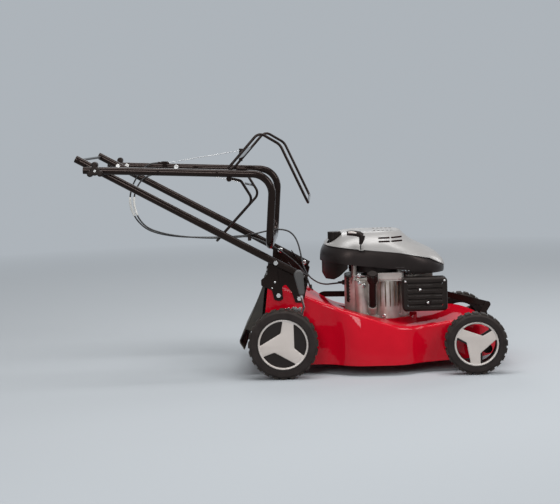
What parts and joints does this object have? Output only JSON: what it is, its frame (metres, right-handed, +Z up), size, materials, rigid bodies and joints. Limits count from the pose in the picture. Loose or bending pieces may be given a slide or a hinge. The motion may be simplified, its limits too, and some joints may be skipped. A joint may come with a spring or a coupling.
{
  "type": "self-propelled rotary lawn mower",
  "caption": "Walk-behind petrol rotary mower with red steel deck, vertical-shaft engine, geared rear wheels, height lever and a handle folded forward for storage.",
  "frame": {"origin": "on the ground, under the middle of the stored length and width", "axes": "+X forward, the way the mower is pushed, +Y to the mower's left, +Z up"},
  "size_m": [1.2496, 0.524, 0.7159],
  "materials": {
    "deck_paint": "gloss red powder coat on pressed steel",
    "black_frame": "satin black powder coat on steel",
    "bare_steel": "zinc-plated or ground steel",
    "cast_alloy": "sand-cast aluminium, lightly oily",
    "cover_silver": "silver-grey moulded plastic",
    "black_plastic": "black moulded plastic, fine grain",
    "dark_plastic": "dark grey moulded plastic",
    "hub_grey": "light grey moulded plastic",
    "tyre_rubber": "black lugged tread",
    "soft_rubber": "black rubber",
    "cable_sheath": "black sheathed cable",
    "flywheel_iron": "cast iron",
    "ceramic": "glazed white insulator, stated as gloss plastic"
  },
  "bodies": {
    "root": {"deck_shell": "deck_paint", "handle_bracket_right": "black_frame", "handle_bracket_left": "black_frame", "flap_hinge_rod": "bare_steel", "lower_tube_right": "black_frame", "lower_tube_left": "black_frame", "handle_cross_rod": "bare_steel", "frame_bolts": "bare_steel", "brake_cable": "cable_sheath", "drive_cable": "cable_sheath", "cable_clips": "black_plastic", "engine_block": "cast_alloy", "cylinder_head": "cast_alloy", "spark_plug": "ceramic", "blower_housing": "dark_plastic", "top_cover": "cover_silver", "fuel_tank": "black_plastic", "oil_filler_tube": "black_plastic", "muffler": "bare_steel", "muffler_guard": "black_frame", "carburettor": "cast_alloy", "air_filter_box": "black_plastic", "starter_rope": "cable_sheath", "drive_belt": "soft_rubber", "gearbox": "dark_plastic", "rear_axle_brackets": "black_frame", "height_quadrant": "black_frame"},
    "upper_handle": {"upper_handle": "black_frame", "cable_anchors": "black_plastic", "brake_inner_wire": "bare_steel"},
    "fold_knob_right": {"fold_knob_right": "black_plastic"},
    "fold_knob_left": {"fold_knob_left": "black_plastic"},
    "brake_bail": {"brake_bail": "black_frame"},
    "drive_bail": {"drive_bail": "black_frame"},
    "rear_flap": {"rear_flap": "black_plastic"},
    "crank": {"crankshaft": "bare_steel", "flywheel": "flywheel_iron", "engine_pulley": "bare_steel", "blade_adapter": "bare_steel", "cutting_blade": "black_frame", "blade_bolt": "bare_steel"},
    "gearbox_pulley": {"gearbox_pulley": "bare_steel"},
    "drive_shaft": {"drive_shaft": "bare_steel"},
    "drive_pinion_right": {"drive_pinion_right": "bare_steel"},
    "drive_pinion_left": {"drive_pinion_left": "bare_steel"},
    "rear_axle": {"rear_axle": "bare_steel", "height_grip": "dark_plastic"},
    "front_axle": {"front_axle": "bare_steel"},
    "height_link": {"height_link": "black_frame"},
    "starter_grip": {"starter_grip": "black_plastic"},
    "fuel_cap": {"fuel_cap": "black_plastic"},
    "oil_dipstick": {"oil_dipstick": "black_plastic"},
    "wheel_rear_right": {"wheel_rear_right": "tyre_rubber", "hub_cap_rear_right": "hub_grey"},
    "wheel_rear_left": {"wheel_rear_left": "tyre_rubber", "hub_cap_rear_left": "hub_grey"},
    "wheel_front_right": {"wheel_front_right": "tyre_rubber", "hub_cap_front_right": "hub_grey"},
    "wheel_front_left": {"wheel_front_left": "tyre_rubber", "hub_cap_front_left": "hub_grey"}
  },
  "joints": [
    {"name": "fold", "type": "hinge", "parent": "root", "child": "upper_handle", "pos_m": [-0.55363, 0, 0.62334], "axis": [0, -1, 0], "range_deg": [0, 153.7], "deforming": ["brake_cable", "drive_cable"]},
    {"name": "brake_bail_squeeze", "type": "hinge", "parent": "upper_handle", "child": "brake_bail", "pos_m": [-0.18415, 0, 0.60366], "axis": [0, 1, 0], "range_deg": [0, 35], "stiffness_Nm_per_rad": 1.5, "springref_deg": -80.21, "deforming": ["brake_inner_wire"]},
    {"name": "drive_bail_squeeze", "type": "hinge", "parent": "upper_handle", "child": "drive_bail", "pos_m": [-0.16903, 0, 0.58683], "axis": [0, -1, 0], "range_deg": [0, 40], "stiffness_Nm_per_rad": 1, "springref_deg": -68.75},
    {"name": "flap_swing", "type": "hinge", "parent": "root", "child": "rear_flap", "pos_m": [-0.07902, 0, 0.277], "axis": [0, 1, 0], "range_deg": [0, 80], "stiffness_Nm_per_rad": 0.2, "springref_deg": -85.94},
    {"name": "crank_spin", "type": "hinge", "parent": "root", "child": "crank", "pos_m": [0.25798, 0, 0.119], "axis": [0, 0, 1], "continuous": true},
    {"name": "gearbox_pulley_spin", "type": "hinge", "parent": "root", "child": "gearbox_pulley", "pos_m": [-0.00102, 0.045, 0.119], "axis": [0, 0, 1], "continuous": true},
    {"name": "drive_shaft_spin", "type": "hinge", "parent": "root", "child": "drive_shaft", "pos_m": [0.01114, 0, 0.07865], "axis": [0, -1, 0], "continuous": true},
    {"name": "height_lever", "type": "hinge", "parent": "root", "child": "rear_axle", "pos_m": [0.01114, 0, 0.07865], "axis": [0, -1, 0], "range_deg": [0, 64]},
    {"name": "front_axle_swing", "type": "hinge", "parent": "root", "child": "front_axle", "pos_m": [0.57014, 0, 0.06615], "axis": [0, -1, 0], "range_deg": [0, 64]},
    {"name": "height_link_swing", "type": "hinge", "parent": "rear_axle", "child": "height_link", "pos_m": [0.05883, 0, 0.15498], "axis": [0, -1, 0], "range_deg": [-64, 0]},
    {"name": "starter_pull", "type": "slide", "parent": "root", "child": "starter_grip", "axis": [0, 0, 1], "range_m": [0, 0.5], "stiffness_N_per_m": 4, "springref_m": -0.5, "deforming": ["starter_rope"]},
    {"name": "fuel_cap_lift", "type": "slide", "parent": "root", "child": "fuel_cap", "axis": [0, 0, 1], "range_m": [0, 0.04]},
    {"name": "dipstick_draw", "type": "slide", "parent": "root", "child": "oil_dipstick", "axis": [0, -0.5299, 0.848], "range_m": [0, 0.1]},
    {"name": "fold_knob_right_turn", "type": "hinge", "parent": "root", "child": "fold_knob_right", "pos_m": [-0.55363, -0.2452, 0.62334], "axis": [0, -1, 0], "continuous": true},
    {"name": "fold_knob_left_turn", "type": "hinge", "parent": "root", "child": "fold_knob_left", "pos_m": [-0.55363, 0.2452, 0.62334], "axis": [0, -1, 0], "continuous": true},
    {"name": "wheel_rear_right_spin", "type": "hinge", "parent": "rear_axle", "child": "wheel_rear_right", "pos_m": [-0.02702, 0, 0.1025], "axis": [0, 1, 0], "continuous": true},
    {"name": "wheel_front_right_spin", "type": "hinge", "parent": "front_axle", "child": "wheel_front_right", "pos_m": [0.53198, 0, 0.09], "axis": [0, 1, 0], "continuous": true},
    {"name": "drive_pinion_right_spin", "type": "hinge", "parent": "rear_axle", "child": "drive_pinion_right", "pos_m": [0.01114, 0, 0.07865], "axis": [0, 1, 0], "continuous": true},
    {"name": "wheel_rear_left_spin", "type": "hinge", "parent": "rear_axle", "child": "wheel_rear_left", "pos_m": [-0.02702, 0, 0.1025], "axis": [0, 1, 0], "continuous": true},
    {"name": "wheel_front_left_spin", "type": "hinge", "parent": "front_axle", "child": "wheel_front_left", "pos_m": [0.53198, 0, 0.09], "axis": [0, 1, 0], "continuous": true},
    {"name": "drive_pinion_left_spin", "type": "hinge", "parent": "rear_axle", "child": "drive_pinion_left", "pos_m": [0.01114, 0, 0.07865], "axis": [0, 1, 0], "continuous": true}
  ],
  "couplings": [
    {"joint": "gearbox_pulley_spin", "follows": "crank_spin", "ratio": 0.78571},
    {"joint": "front_axle_swing", "follows": "height_lever", "ratio": 1},
    {"joint": "height_link_swing", "follows": "height_lever", "ratio": -1},
    {"joint": "drive_pinion_right_spin", "follows": "wheel_rear_right_spin", "ratio": 4},
    {"joint": "drive_pinion_left_spin", "follows": "wheel_rear_left_spin", "ratio": 4}
  ]
}
